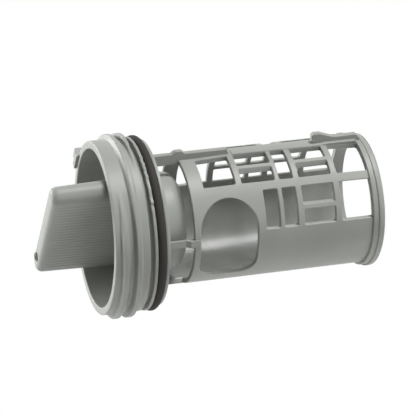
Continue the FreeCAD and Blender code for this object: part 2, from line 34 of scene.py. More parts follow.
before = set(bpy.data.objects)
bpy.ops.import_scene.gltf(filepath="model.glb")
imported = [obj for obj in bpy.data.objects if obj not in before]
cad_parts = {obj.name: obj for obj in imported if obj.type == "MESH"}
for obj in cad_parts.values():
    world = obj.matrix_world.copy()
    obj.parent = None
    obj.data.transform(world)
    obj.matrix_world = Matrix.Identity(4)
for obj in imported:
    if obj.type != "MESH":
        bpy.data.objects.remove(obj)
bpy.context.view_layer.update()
scene = bpy.context.scene


# Camera: where the photograph was taken from, worked out in the filter's own frame.

PHOTO_PIXELS = 415
YAW = math.radians(14.990)
ROLL = math.radians(6.484)
SPIN = math.radians(25.5)
PIXELS_PER_MM = 3.067
DISTANCE_MM = 767.9
AXIS_POINT = (4.0 * MM, 0.0, 0.0)
AXIS_PIXEL = (160.0, 220.692)
SENSOR_MM = 36.0
CAMERA_REACH = (0.05, 20.0)


def in_frame(along, near, up):
    """A direction given along the axis, towards the viewer and upwards across the axis, in X, Y, Z."""
    return Vector((
        along,
        -near * math.cos(SPIN) + up * math.sin(SPIN),
        near * math.sin(SPIN) + up * math.cos(SPIN),
    ))


def add_camera():
    """The photograph's camera: a long lens a short way above the filter and in front of its cap."""
    right = in_frame(math.cos(YAW) * math.cos(ROLL), math.sin(YAW) * math.cos(ROLL), -math.sin(ROLL))
    up = in_frame(math.cos(YAW) * math.sin(ROLL), math.sin(YAW) * math.sin(ROLL), math.cos(ROLL))
    back = in_frame(-math.sin(YAW), math.cos(YAW), 0.0)
    half = PHOTO_PIXELS / 2
    aside = (AXIS_PIXEL[0] - half) / PIXELS_PER_MM * MM
    above = (half - AXIS_PIXEL[1]) / PIXELS_PER_MM * MM
    place = Vector(AXIS_POINT) - right * aside - up * above + back * DISTANCE_MM * MM
    turn = Matrix((right, up, back)).transposed().to_4x4()
    camera = bpy.data.objects.new("camera", bpy.data.cameras.new("camera"))
    camera.matrix_world = Matrix.Translation(place) @ turn
    camera.data.sensor_width = SENSOR_MM
    camera.data.lens = PIXELS_PER_MM * DISTANCE_MM / PHOTO_PIXELS * SENSOR_MM
    camera.data.clip_start, camera.data.clip_end = CAMERA_REACH
    scene.collection.objects.link(camera)
    scene.camera = camera


add_camera()


# Floor, backdrop and light.

FLOOR_Z = -0.09
FLOOR_HALF = 1.2
FLOOR_SHADE = 0.8
WORLD_LEVEL = 0.104
LAMP_TARGET = (0.02, 0, 0)


def seen_directly(tree):
    """A socket that is 1 for rays from the camera, from a reflection or through glass, else 0."""
    path = tree.nodes.new("ShaderNodeLightPath")
    first = tree.nodes.new("ShaderNodeMath")
    first.operation = "MAXIMUM"
    second = tree.nodes.new("ShaderNodeMath")
    second.operation = "MAXIMUM"
    tree.links.new(path.outputs["Is Camera Ray"], first.inputs[0])
    tree.links.new(path.outputs["Is Glossy Ray"], first.inputs[1])
    tree.links.new(first.outputs[0], second.inputs[0])
    tree.links.new(path.outputs["Is Transmission Ray"], second.inputs[1])
    return second.outputs[0]


def white_to_camera(name, shade):
    """A material that shows as white to the camera and in reflections and keeps the object's shadow."""
    material = bpy.data.materials.new(name)
    material.use_nodes = True
    tree = material.node_tree
    tree.nodes.clear()
    out = tree.nodes.new("ShaderNodeOutputMaterial")
    diffuse = tree.nodes.new("ShaderNodeBsdfDiffuse")
    diffuse.inputs["Color"].default_value = (shade, shade, shade, 1)
    glow = tree.nodes.new("ShaderNodeEmission")
    glow.inputs["Color"].default_value = (1, 1, 1, 1)
    mix = tree.nodes.new("ShaderNodeMixShader")
    tree.links.new(seen_directly(tree), mix.inputs["Fac"])
    tree.links.new(diffuse.outputs[0], mix.inputs[1])
    tree.links.new(glow.outputs[0], mix.inputs[2])
    tree.links.new(mix.outputs[0], out.inputs["Surface"])
    return material


def add_floor():
    """A plain floor that the filter is held just above."""
    mesh = bpy.data.meshes.new("floor")
    sides = ((-1, -1), (1, -1), (1, 1), (-1, 1))
    corners = [(x * FLOOR_HALF, y * FLOOR_HALF, FLOOR_Z) for x, y in sides]
    mesh.from_pydata(corners, [], [(0, 1, 2, 3)])
    floor = bpy.data.objects.new("floor", mesh)
    floor.data.materials.append(white_to_camera("floor_white", FLOOR_SHADE))
    scene.collection.objects.link(floor)


def add_world(level):
    """Even pale surroundings, white to the camera."""
    world = bpy.data.worlds.new("studio")
    world.use_nodes = True
    tree = world.node_tree
    tree.nodes.clear()
    out = tree.nodes.new("ShaderNodeOutputWorld")
    plain = tree.nodes.new("ShaderNodeBackground")
    plain.inputs["Color"].default_value = (1, 1, 1, 1)
    plain.inputs["Strength"].default_value = level
    white = tree.nodes.new("ShaderNodeBackground")
    white.inputs["Color"].default_value = (1, 1, 1, 1)
    mix = tree.nodes.new("ShaderNodeMixShader")
    tree.links.new(seen_directly(tree), mix.inputs["Fac"])
    tree.links.new(plain.outputs[0], mix.inputs[1])
    tree.links.new(white.outputs[0], mix.inputs[2])
    tree.links.new(mix.outputs[0], out.inputs["Surface"])
    scene.world = world


def add_lamp(name, direction, distance, size, power):
    """A square soft lamp that looks at the middle of the filter from a direction."""
    lamp = bpy.data.objects.new(name, bpy.data.lights.new(name, "AREA"))
    lamp.data.size = size
    lamp.data.energy = power
    away = Vector(direction).normalized()
    lamp.location = Vector(LAMP_TARGET) + away * distance
    lamp.rotation_euler = away.to_track_quat("Z", "Y").to_euler()
    scene.collection.objects.link(lamp)


add_floor()
add_world(WORLD_LEVEL)
add_lamp("overhead_lamp", direction=(0.26, -0.10, 0.96), distance=0.9, size=0.3, power=9.8)
add_lamp("left_lamp", direction=(-0.85, 0.55, -0.25), distance=0.9, size=1.0, power=45.0)
add_lamp("near_lamp", direction=(0.6, -0.85, 0.0), distance=1.0, size=0.8, power=4.5)


# Materials.

CLOUD_SCALE = 60.0
CLOUD_DETAIL = 3.0
CLOUD_TINTS = ((0.3, 0.94), (0.7, 1.05))
DULLEST = 0.07
GLOSSIEST = -0.05
GRAIN_SCALE = 2500.0
GRAIN_DETAIL = 2.0
GRAIN_DEPTH = 0.00005
WAVE_SCALE = 130.0
WAVE_DEPTH = 0.00015


def noise(tree, coords, scale, detail):
    """A noise over the object's own coordinates."""
    texture = tree.nodes.new("ShaderNodeTexNoise")
    texture.inputs["Scale"].default_value = scale
    texture.inputs["Detail"].default_value = detail
    tree.links.new(coords.outputs["Object"], texture.inputs["Vector"])
    return texture.outputs["Fac"]


def bump(tree, height, strength, depth):
    """A bump that follows a height."""
    node = tree.nodes.new("ShaderNodeBump")
    node.inputs["Strength"].default_value = strength
    node.inputs["Distance"].default_value = depth
    tree.links.new(height, node.inputs["Height"])
    return node


def moulded_plastic(name, colour, rough, sheen, grain, waves=0.0):
    """Moulded plastic: faint cloudy variation of colour and gloss, a fine grain and slow waves."""
    material = bpy.data.materials.new(name)
    material.use_nodes = True
    tree = material.node_tree
    shader = tree.nodes["Principled BSDF"]
    shader.inputs["Specular IOR Level"].default_value = sheen
    coords = tree.nodes.new("ShaderNodeTexCoord")
    cloud = noise(tree, coords, CLOUD_SCALE, CLOUD_DETAIL)
    tint = tree.nodes.new("ShaderNodeValToRGB")
    for element, (position, share) in zip(tint.color_ramp.elements, CLOUD_TINTS):
        element.position = position
        element.color = [c * share for c in colour] + [1]
    tree.links.new(cloud, tint.inputs["Fac"])
    tree.links.new(tint.outputs["Color"], shader.inputs["Base Color"])
    gloss = tree.nodes.new("ShaderNodeMapRange")
    gloss.inputs["To Min"].default_value = rough + GLOSSIEST
    gloss.inputs["To Max"].default_value = rough + DULLEST
    tree.links.new(cloud, gloss.inputs["Value"])
    tree.links.new(gloss.outputs["Result"], shader.inputs["Roughness"])
    fine = bump(tree, noise(tree, coords, GRAIN_SCALE, GRAIN_DETAIL), grain, GRAIN_DEPTH)
    if waves:
        slow = bump(tree, noise(tree, coords, WAVE_SCALE, 0.0), waves, WAVE_DEPTH)
        tree.links.new(slow.outputs["Normal"], fine.inputs["Normal"])
    tree.links.new(fine.outputs["Normal"], shader.inputs["Normal"])
    return material


def dress(node, material):
    """Give a CAD node its material."""
    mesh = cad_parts[node].data
    mesh.materials.clear()
    mesh.materials.append(material)


GREY = (0.268, 0.277, 0.258)
BLACK = (0.041, 0.039, 0.037)
PLASTIC = moulded_plastic("grey_plastic", GREY, rough=0.45, sheen=0.3, grain=0.15)
SMOOTH_PLASTIC = moulded_plastic(
    "smooth_grey_plastic", GREY, rough=0.27, sheen=0.33, grain=0.05, waves=1.0,
)
RUBBER = moulded_plastic("seal_rubber", BLACK, rough=0.7, sheen=0.1, grain=0.2)


# Shapes. Lengths from here on are millimetres in the CAD frame; angles are degrees from the top of
# the cage towards its inlet side. The radii between SMOOTH_FROM and SMOOTH_WITHIN are the inside of
# the cage's wall.

SEGMENTS = 240
SMOOTH_FROM = 18.5
SMOOTH_WITHIN = 19.7
BEVEL = 0.22
SMALL_BEVEL = 0.15


class Shell:
    """Points and faces of one piece as they are gathered."""

    def __init__(self):
        self.points = []
        self.faces = []

    def add(self, points):
        """Append points and return their numbers."""
        first = len(self.points)
        self.points.extend(points)
        return list(range(first, len(self.points)))

    def strip(self, row, other):
        """Quads all the way round between two rows of point numbers."""
        count = len(row)
        for i in range(count):
            j = (i + 1) % count
            self.faces.append((row[i], row[j], other[j], other[i]))

    def rows(self, rows):
        """Add rings of points with quads between them and return the rows of numbers."""
        numbers = [self.add(row) for row in rows]
        for row, other in zip(numbers, numbers[1:]):
            self.strip(row, other)
        return numbers

    def piece(self, name, material):
        """Make the mesh object, in metres, with welded points and outward faces.

        The inside of the cage's wall is smoother than the rest.
        """
        mesh = bpy.data.meshes.new(name)
        mesh.from_pydata([(x * MM, y * MM, z * MM) for x, y, z in self.points], [], self.faces)
        work = bmesh.new()
        work.from_mesh(mesh)
        bmesh.ops.remove_doubles(work, verts=work.verts, dist=WELD)
        bmesh.ops.delete(work, geom=[v for v in work.verts if not v.link_faces], context="VERTS")
        bmesh.ops.recalc_face_normals(work, faces=work.faces)
        work.to_mesh(mesh)
        work.free()
        mesh.shade_smooth()
        mesh.set_sharp_from_angle(angle=math.radians(SHARP_ANGLE))
        mesh.materials.append(material)
        if material == PLASTIC:
            mesh.materials.append(SMOOTH_PLASTIC)
            for face in mesh.polygons:
                x, y, z = face.center
                if x > 0 and SMOOTH_FROM * MM < math.hypot(y, z) < SMOOTH_WITHIN * MM:
                    face.material_index = 1
        made = bpy.data.objects.new(name, mesh)
        scene.collection.objects.link(made)
        return made


def polar(along, radius, angle):
    """The point at a distance along the axis, a radius and an angle."""
    turn = math.radians(angle)
    return along, -radius * math.sin(turn), radius * math.cos(turn)


def ring_angles():
    """Evenly spread angles all the way round."""
    return [360.0 * i / SEGMENTS for i in range(SEGMENTS)]


def rounded(corners, steps=4, closed=True):
    """Points of an outline whose corners, given as (x, y, radius), are rounded."""
    points = []
    count = len(corners)
    for i, (x, y, radius) in enumerate(corners):
        if radius <= 0 or (not closed and i in (0, count - 1)):
            points.append((x, y))
            continue
        here = Vector((x, y))
        back = (Vector(corners[i - 1][:2]) - here).normalized()
        ahead = (Vector(corners[(i + 1) % count][:2]) - here).normalized()
        half = back.angle(ahead) / 2
        reach = radius / math.tan(half)
        centre = here + (back + ahead).normalized() * (radius / math.sin(half))
        start = here + back * reach - centre
        end = here + ahead * reach - centre
        for step in range(steps + 1):
            spoke = start.lerp(end, step / steps).normalized() * radius
            points.append(tuple(centre + spoke))
    return points


def lathe(shell, outline):
    """Turn a closed outline of (along, radius) points round the axis."""
    rows = [[polar(x, radius, angle) for angle in ring_angles()] for x, radius in outline]
    numbers = shell.rows(rows)
    shell.strip(numbers[-1], numbers[0])


def inset(outline, width):
    """The outline, given anticlockwise, moved inwards by a width."""
    moved = []
    for i, point in enumerate(outline):
        here = Vector(point)
        before = (here - Vector(outline[i - 1])).normalized()
        after = (Vector(outline[(i + 1) % len(outline)]) - here).normalized()
        first = Vector((-before.y, before.x))
        second = Vector((-after.y, after.x))
        moved.append(tuple(here + (first + second) * (width / (1 + first.dot(second)))))
    return moved


def prism(shell, outline, place, low, high, bevel=BEVEL):
    """A bevelled block: an anticlockwise outline carried from one height to another."""
    small = inset(outline, bevel)
    layers = [(small, low), (outline, low + bevel), (outline, high - bevel), (small, high)]
    rows = [[place(p, q, height) for p, q in points] for points, height in layers]
    numbers = shell.rows(rows)
    shell.faces.append(tuple(reversed(numbers[0])))
    shell.faces.append(tuple(numbers[-1]))


def smooth(value):
    """Ease from 0 to 1."""
    value = min(max(value, 0.0), 1.0)
    return value * value * (3 - 2 * value)


# The cap: cup, thread, grooves, flange, neck and dome in one turned skin, with grip and lug.

CAP_RIM = -18.0
SKIRT = 28.3
SKIRT_MIDDLE = -12.0
SKIRT_END = -6.6
RELIEF = 26.5
COLLAR_FRONT = -5.2
COLLAR_REAR = -4.15
COLLAR = 28.4
GROOVE = 25.7
FLANGE_FRONT = -1.05
FLANGE = 27.3
NECK = 16.4
BEAD_FRONT = 1.26
BEAD_REAR = 2.56
BEAD = 17.0
DOME = 16.0
DOME_END = 9.6
DOME_ROUND = 4.0
CUP_MOUTH = 25.8
CUP_FOOT = 24.4
CUP_FLOOR = -2.2
WELL = 14.0
WELL_FLOOR = 7.6
WELL_ROUND = 2.0
THREAD_HEIGHT = 1.65
THREAD_PITCH = 4.1
THREAD_TURNS = 1.96
THREAD_START = 2.85
THREAD_ANGLE = 42.0
CREST_HALF = 0.55
FLANK = 1.05
FADE_ANGLE = 31.0
FADED_WIDTH = 0.3
SKIRT_STEP = 0.15
ON_SKIRT = 0.01


def thread_rise(along, angle):
    """How far the thread stands out of the skirt at a point."""
    best = 0.0
    first_turn = ((angle - THREAD_ANGLE) % 360.0) / 360.0
    for turn in (first_turn, first_turn + 1.0):
        if turn > THREAD_TURNS:
            continue
        middle = CAP_RIM + THREAD_START + THREAD_PITCH * turn
        to_end = min(turn, THREAD_TURNS - turn) * 360.0
        grown = min(1.0, to_end / FADE_ANGLE)
        width = FADED_WIDTH + (1.0 - FADED_WIDTH) * grown ** 0.5
        off = abs(along - middle) / width
        best = max(best, grown ** 1.5 * smooth((CREST_HALF + FLANK - off) / FLANK))
    return best * THREAD_HEIGHT


COLLAR_FRAY = 0.15
FRAY_START = 8.0
FRAY_END = 62.0
FRAY_GROWS = 8.0
FRAY_FADES = 10.0
FRAY_WAVES = ((2.9, 0.0), (5.3, 1.0), (9.1, 2.0))
FRAYED_RADIUS = 28.2
FRAYED_FROM = -5.3
RIM_LEAN = 0.03
LEAN_GROWS = 5.0


def collar_fray(angle):
    """Small uneven flash on the upper part of the collar's edge."""
    level = smooth((angle - FRAY_START) / FRAY_GROWS) * smooth((FRAY_END - angle) / FRAY_FADES)
    wave = sum(math.sin(angle * rate + start) for rate, start in FRAY_WAVES)
    return COLLAR_FRAY * level * wave


def leaned(point):
    """The cup's rim and threads lean a little towards the cage at the top."""
    along, side, up = point
    return along + RIM_LEAN * up * smooth((SKIRT_END - along) / LEAN_GROWS), side, up


def cap_skin(shell):
    """The turned skin of the cap from the dome's middle round the rim to the inside of the dome."""
    rear = rounded([
        (DOME_END, 0.0, 0), (DOME_END, DOME, DOME_ROUND),
        (BEAD_REAR, DOME, 0.3), (BEAD_FRONT, BEAD, 0.2), (BEAD_FRONT, NECK, 0.1), (0.0, NECK, 0.15),
        (0.0, FLANGE, 0.22), (FLANGE_FRONT, FLANGE, 0.22),
        (FLANGE_FRONT, GROOVE, 0.15), (COLLAR_REAR, GROOVE, 0.15),
        (COLLAR_REAR, COLLAR, 0.2), (COLLAR_FRONT, COLLAR, 0.3),
        (COLLAR_FRONT, RELIEF, 0.15), (SKIRT_END, RELIEF, 0.15),
        (SKIRT_END, SKIRT, 0.3), (SKIRT_MIDDLE, SKIRT, 0),
    ], closed=False)[:-1]
    front = rounded([
        (SKIRT_MIDDLE, SKIRT, 0), (CAP_RIM, SKIRT, 0.4), (CAP_RIM, CUP_MOUTH, 0.35),
        (CUP_FLOOR, CUP_FOOT, 0.5), (CUP_FLOOR, WELL, 0.5), (WELL_FLOOR, WELL, WELL_ROUND),
        (WELL_FLOOR, 0.0, 0),
    ], closed=False)[1:]
    skirt = []
    along = rear[-1][0] - SKIRT_STEP
    while along > front[0][0] + SKIRT_STEP / 2:
        skirt.append((along, SKIRT))
        along -= SKIRT_STEP
    outline = rear[1:] + skirt + front[:-1]
    rows = []
    for x, radius in outline:
        row = []
        for angle in ring_angles():
            out = radius
            if radius > SKIRT - ON_SKIRT and x < SKIRT_END:
                out += thread_rise(x, angle)
            if radius > FRAYED_RADIUS and x > FRAYED_FROM:
                out += collar_fray(angle)
            row.append(leaned(polar(x, out, angle)))
        rows.append(row)
    numbers = shell.rows(rows)
    for pole, edge in ((rear[0], numbers[0]), (front[-1], numbers[-1])):
        middle = shell.add([(pole[0], 0.0, 0.0)])[0]
        for i, number in enumerate(edge):
            shell.faces.append((number, edge[(i + 1) % len(edge)], middle))


GRIP_FRONT = -34.9
GRIP_BASE = -1.1
GRIP_HALF = 21.0
GRIP_THICK = 6.6
GRIP_OFFSET = 1.2
GRIP_ANGLE = 36.0
GRIP_DRAFT = 1.5
GRIP_ROUND = 1.65
GRIP_ROUND_DEEP = 2.2
RIDGES = 23
RIDGE_PITCH = 1.75
RIDGE_RISE = 0.15
RIDGE_SETBACK = 2.4
RIDGE_FADE = 0.5
RIDGE_STEPS = 7
RIDGE_CREST = 1.6
RIDGE_VALLEY = 0.1
GRIP_STATIONS = (GRIP_BASE, -6.0, -12.0, -18.0, -24.0)
GRIP_ARC = 16
GRIP_ROUND_STEPS = 6
DIMPLE_STATION = 17.2
DIMPLE_STEPS = 24

# The dimple's lip in steps of radius and distance in front of the grip.
DIMPLE_LIP = [(1.55, 0.0), (1.5, 0.5), (1.35, 0.6), (1.2, 0.5), (1.15, -0.7)]


def grip_place(across, up, along):
    """A point of the grip from its own axes: across its thickness, up its length and along X."""
    turn = math.radians(GRIP_ANGLE)
    y = across * math.cos(turn) - up * math.sin(turn)
    z = across * math.sin(turn) + up * math.cos(turn)
    return along, y, z


def grip_ring(along, shrink, ridged):
    """One ring of the grip's side, with ridges on both flat faces where asked."""
    half = GRIP_THICK / 2 + (along - GRIP_FRONT) * math.tan(math.radians(GRIP_DRAFT)) - shrink
    count = (RIDGES + 1) * RIDGE_STEPS
    ups = [GRIP_HALF - 2 * GRIP_HALF * i / count for i in range(count + 1)]
    span = RIDGE_PITCH * (RIDGES - 1) / 2
    left = []
    for up in ups:
        rise = 0.0
        if ridged and abs(up) < span + RIDGE_PITCH / 2:
            phase = (up / RIDGE_PITCH) % 1.0
            wave = RIDGE_CREST * math.cos(2 * math.pi * phase) - RIDGE_VALLEY
            rise = RIDGE_RISE * smooth(wave) * ridged
        left.append((GRIP_OFFSET - half - rise, up))
    right = [(2 * GRIP_OFFSET - across, -up) for across, up in left]
    ring = list(left)
    for i in range(1, GRIP_ARC):
        turn = math.pi + math.pi * i / GRIP_ARC
        ring.append((GRIP_OFFSET + half * math.cos(turn), -GRIP_HALF + half * math.sin(turn)))
    ring.extend(right)
    for i in range(1, GRIP_ARC):
        turn = math.pi * i / GRIP_ARC
        ring.append((GRIP_OFFSET + half * math.cos(turn), GRIP_HALF + half * math.sin(turn)))
    return ring


def dimple_point(radius, turn):
    """A point on a circle round the dimple, in the grip's own axes."""
    return GRIP_OFFSET + radius * math.cos(turn), -DIMPLE_STATION + radius * math.sin(turn)


def grip(shell):
    """The grip bar: drafted sides with ridges, rounded front edge and a dimple in its front face.

    Each station has its place along X, how far the side shrinks there and how high the ridges stand.
    """
    stations = [(along, 0.0, 1.0) for along in GRIP_STATIONS]
    start = GRIP_FRONT + RIDGE_SETBACK
    stations += [(start + RIDGE_FADE, 0.0, 1.0), (start + RIDGE_FADE / 2, 0.0, 0.7), (start, 0.0, 0.0)]
    for step in range(GRIP_ROUND_STEPS + 1):
        turn = math.pi / 2 * step / GRIP_ROUND_STEPS
        along = GRIP_FRONT + GRIP_ROUND_DEEP * (1 - math.sin(turn))
        stations.append((along, GRIP_ROUND * (1 - math.cos(turn)), 0.0))
    rings = [grip_ring(along, shrink, ridged) for along, shrink, ridged in stations]
    rows = [[grip_place(p, q, station[0]) for p, q in ring] for ring, station in zip(rings, stations)]
    numbers = shell.rows(rows)
    shell.faces.append(tuple(numbers[0]))
    circle = [2 * math.pi * i / DIMPLE_STEPS for i in range(DIMPLE_STEPS)]
    dimple_rows = []
    for radius, out in DIMPLE_LIP:
        around = [dimple_point(radius, turn) for turn in circle]
        dimple_rows.append([grip_place(across, up, GRIP_FRONT - out) for across, up in around])
    dimple = shell.rows(dimple_rows)
    shell.faces.append(tuple(dimple[-1]))
    outer = rings[-1]
    hole = [dimple_point(DIMPLE_LIP[0][0], turn) for turn in circle]
    count = len(outer)
    edges = [(i, (i + 1) % count) for i in range(count)]
    edges += [(count + i, count + (i + 1) % DIMPLE_STEPS) for i in range(DIMPLE_STEPS)]
    faces, origins = spread(outer + hole, edges, [outer, hole])
    face_numbers = numbers[-1] + dimple[0]
    for face in faces:
        shell.faces.append(tuple(face_numbers[origins[i]] for i in face))


LUG_ANGLE = -60.5
LUG_HALF = 3.3
LUG_TOP = 30.6
LUG_FRONT = -19.0
LUG_REAR = -15.5
LUG_NOTCH_END = -16.5
LUG_NOTCH_FROM = 0.5
LUG_NOTCH_DEPTH = 1.3
LUG_SUNK = 1.2
LUG_LAP = 0.1


def lug(shell):
    """The stop lug on the rim, its lower half notched at the front."""
    def place(side, up, along):
        turn = math.radians(LUG_ANGLE)
        y = -up * math.sin(turn) + side * math.cos(turn)
        z = up * math.cos(turn) + side * math.sin(turn)
        return leaned((along, y, z))

    foot = SKIRT - LUG_SUNK
    step = LUG_TOP - LUG_NOTCH_DEPTH
    whole = [(-LUG_HALF, foot), (LUG_HALF, foot), (LUG_HALF, LUG_TOP), (-LUG_HALF, LUG_TOP)]
    notched = whole[:2] + [
        (LUG_HALF, step), (LUG_NOTCH_FROM, step), (LUG_NOTCH_FROM, LUG_TOP), (-LUG_HALF, LUG_TOP),
    ]
    prism(shell, notched, place, LUG_FRONT, LUG_NOTCH_END, SMALL_BEVEL)
    prism(shell, whole, place, LUG_NOTCH_END - LUG_LAP, LUG_REAR, SMALL_BEVEL)


# The sealing ring.

SEAL_MIDDLE = (-2.6, 27.25)
SEAL_RADIUS = 1.5
SEAL_STEPS = 24


def seal_shape(shell):
    """A plain round ring."""
    middle = Vector(SEAL_MIDDLE)
    turns = [2 * math.pi * i / SEAL_STEPS for i in range(SEAL_STEPS)]
    lathe(shell, [middle + SEAL_RADIUS * Vector((math.cos(turn), math.sin(turn))) for turn in turns])


# The cage: one wall with its windows, then the rings, the spine, the arm and the locating rib.

CAGE_OUT = 21.2
CAGE_IN = 19.5
WALL_START = 0.9
THROAT = 9.9
WALL_END = 70.1
GAP_FAR = -82.0
GAP_NEAR = 160.0
TURN_STEP = 3.0
GRID_STEP = 2.6
CLEAR_OF_EDGE = 0.7
SHARPEST_CORNER = 0.4
SAME = 1e-6
SAME_SPOT = 1e-5

# The window rows. NEAR is the inlet's side. The edges of the rows and of their split bars are angles,
# CELLS has where each cell starts and ends along X, and INLET the inlet's start, end, foot and top.

NEAR = 1
FAR = -1
TOP_EDGE = {NEAR: 6.2, FAR: 9.0}
SPLIT_UPPER = (21.0, 25.5)
UPPER_END = 39.8
LOWER_START = 48.0
SPLIT_LOWER = (64.5, 68.6)
LOWER_END = 82.5
LOWER_LIMIT = 132.0
MID_BAR_INSIDE = 43.7
MID_BAR_HALF = 0.1
CELLS = [(14.8, 25.4), (27.5, 38.6), (40.1, 44.7), (46.7, 57.5), (59.6, 70.0)]
SPLIT_UPPER_CELLS = (1, 3)
SPLIT_LOWER_CELLS = {NEAR: (3,), FAR: (1, 2, 3)}
NEAR_CELL_START = 33.8
WINDOW_ROUND = 0.45
INLET = (12.0, 31.2, -13.6, 13.2)
INLET_ROUND_LOW = 5.2
INLET_ROUND_HIGH = 9.4
INLET_STEP = 1.2
CROWN = 0.5
CROWN_START = 14.0
CROWN_RISE = 14.0
CROWN_FALL = 9.0


def inner_angle(angle):
    """Where a cut that is straight up or straight sideways comes out on the inside of the wall."""
    side = 1 if angle >= 0 else -1
    turn = abs(angle)
    wide = CAGE_OUT / CAGE_IN
    if turn <= UPPER_END:
        within = math.degrees(math.asin(min(1.0, wide * math.sin(math.radians(turn)))))
        return side * min(within, MID_BAR_INSIDE - MID_BAR_HALF)
    if turn < LOWER_START:
        share = (turn - UPPER_END) / (LOWER_START - UPPER_END)
        return side * (MID_BAR_INSIDE - MID_BAR_HALF + 2 * MID_BAR_HALF * share)
    if turn <= LOWER_LIMIT:
        within = math.degrees(math.acos(wide * math.cos(math.radians(turn))))
        return side * max(within, MID_BAR_INSIDE + MID_BAR_HALF)
    limit = math.degrees(math.acos(wide * math.cos(math.radians(LOWER_LIMIT))))
    share = (turn - LOWER_LIMIT) / (180.0 - LOWER_LIMIT)
    return side * (limit + (180.0 - limit) * share)


def crown(angle, along):
    """How far the cage's wall stands above a true circle round its top, behind the first window."""
    level = smooth((along - CROWN_START) / CROWN_RISE) * smooth((WALL_END - along) / CROWN_FALL)
    return CROWN * level * max(0.0, math.cos(math.radians(angle))) ** 2


def arc_length(angle):
    """Distance round the outside of the cage."""
    return math.radians(angle) * CAGE_OUT


def subdivided(outline):
    """The outline with its long sides cut into short steps."""
    points = []
    for i, (s, x) in enumerate(outline):
        t, y = outline[(i + 1) % len(outline)]
        round_steps = math.ceil(abs(t - s) / arc_length(TURN_STEP) - SAME)
        along_steps = math.ceil(abs(y - x) / GRID_STEP - SAME)
        count = max(1, round_steps, along_steps)
        points.extend((s + (t - s) * k / count, x + (y - x) * k / count) for k in range(count))
    return points


def window(upper, lower, front, rear):
    """Outline of one window in (round, along) with small round corners and short steps."""
    a, b = arc_length(upper), arc_length(lower)
    places = ((a, front), (b, front), (b, rear), (a, rear))
    return subdivided(rounded([(s, x, WINDOW_ROUND) for s, x in places], 3))


def bands(side, number):
    """Upper and lower edges of the windows in one cell of one side; the inlet takes one's place."""
    found = [(TOP_EDGE[side], UPPER_END)]
    if number in SPLIT_UPPER_CELLS:
        found = [(TOP_EDGE[side], SPLIT_UPPER[0]), (SPLIT_UPPER[1], UPPER_END)]
    if side == NEAR and number == 0:
        return found
    if number in SPLIT_LOWER_CELLS[side]:
        return found + [(LOWER_START, SPLIT_LOWER[0]), (SPLIT_LOWER[1], LOWER_END)]
    return found + [(LOWER_START, LOWER_END)]


def inlet():
    """Outline of the inlet in (round, along), drawn from the side."""
    front, rear, low, high = INLET
    points = rounded([
        (front, low, INLET_ROUND_LOW), (rear, low, INLET_ROUND_LOW),
        (rear, high, INLET_ROUND_HIGH), (front, high, INLET_ROUND_HIGH),
    ], 10)
    outline = []
    for i, (x, z) in enumerate(points):
        far_x, far_z = points[(i + 1) % len(points)]
        count = max(1, round(math.hypot(far_x - x, far_z - z) / INLET_STEP))
        for k in range(count):
            up = z + (far_z - z) * k / count
            outline.append((CAGE_OUT * math.acos(up / CAGE_OUT), x + (far_x - x) * k / count))
    return outline


def openings():
    """All windows of the grille and the inlet."""
    holes = []
    for side in (NEAR, FAR):
        for number, (front, rear) in enumerate(CELLS):
            for upper, lower in bands(side, number):
                beside_inlet = side == NEAR and number == 1 and upper >= LOWER_START
                start = NEAR_CELL_START if beside_inlet else front
                holes.append(window(side * upper, side * lower, start, rear))
    holes.append(inlet())
    return holes


def turned_way(outline):
    """Signed area: above zero where the outline runs anticlockwise."""
    return sum(a[0] * b[1] - b[0] * a[1] for a, b in zip(outline, outline[1:] + outline[:1])) / 2


def inside(points, outlines):
    """For each point, whether it lies in an odd number of the outlines."""
    points = numpy.array(points)
    odd = numpy.zeros(len(points), bool)
    for outline in outlines:
        start = numpy.array(outline)
        end = numpy.roll(start, -1, axis=0)
        for (ax, ay), (bx, by) in zip(start, end):
            if ay != by:
                crosses = (points[:, 1] > min(ay, by)) & (points[:, 1] <= max(ay, by))
                odd ^= crosses & (points[:, 0] < ax + (points[:, 1] - ay) * (bx - ax) / (by - ay))
    return odd


def spread(points, edges, outlines):
    """Triangles over the ground between outlines, and the point that each of their corners was."""
    made = delaunay_2d_cdt([Vector(p) for p in points], edges, [], 0, SAME_SPOT)
    flat, faces, origins = made[0], made[2], made[3]
    middles = [sum((flat[i] for i in face), Vector((0, 0))) / len(face) for face in faces]
    kept = inside([tuple(m) for m in middles], outlines)
    return [face for face, keep in zip(faces, kept) if keep], [origin[0] for origin in origins]


def clear_of(spot, starts, ends, gap):
    """Whether a spot keeps a gap from all the straight lines from starts to ends."""
    ways = ends - starts
    shares = ((spot - starts) * ways).sum(1) / (ways * ways).sum(1)
    nearest = starts + numpy.clip(shares, 0.0, 1.0)[:, None] * ways
    return numpy.hypot(nearest[:, 0] - spot[0], nearest[:, 1] - spot[1]).min() > gap


def grid_spots(points, edges):
    """Spots in rows over the wall that keep clear of every outline, so that its faces stay small."""
    starts = numpy.array([points[a] for a, b in edges])
    ends = numpy.array([points[b] for a, b in edges])
    turns = round(180.0 / TURN_STEP)
    steps = math.ceil(WALL_END / GRID_STEP)
    spots = []
    for i in range(1 - turns, turns):
        for j in range(1, steps + 1):
            spot = (arc_length(i * TURN_STEP), j * GRID_STEP + (0.5 * GRID_STEP if i % 2 else 0.0))
            if spot[1] < WALL_END and clear_of(numpy.array(spot), starts, ends, CLEAR_OF_EDGE):
                spots.append(spot)
    return spots


def is_open(here, there):
    """Whether a side of the wall's outline has no cut edge, on the seam or at the end ring."""
    half = arc_length(180.0)
    seam = abs(here[0] - there[0]) < SAME and abs(abs(here[0]) - half) < SAME
    return seam or (abs(here[1] - WALL_END) < SAME and abs(there[1] - WALL_END) < SAME)


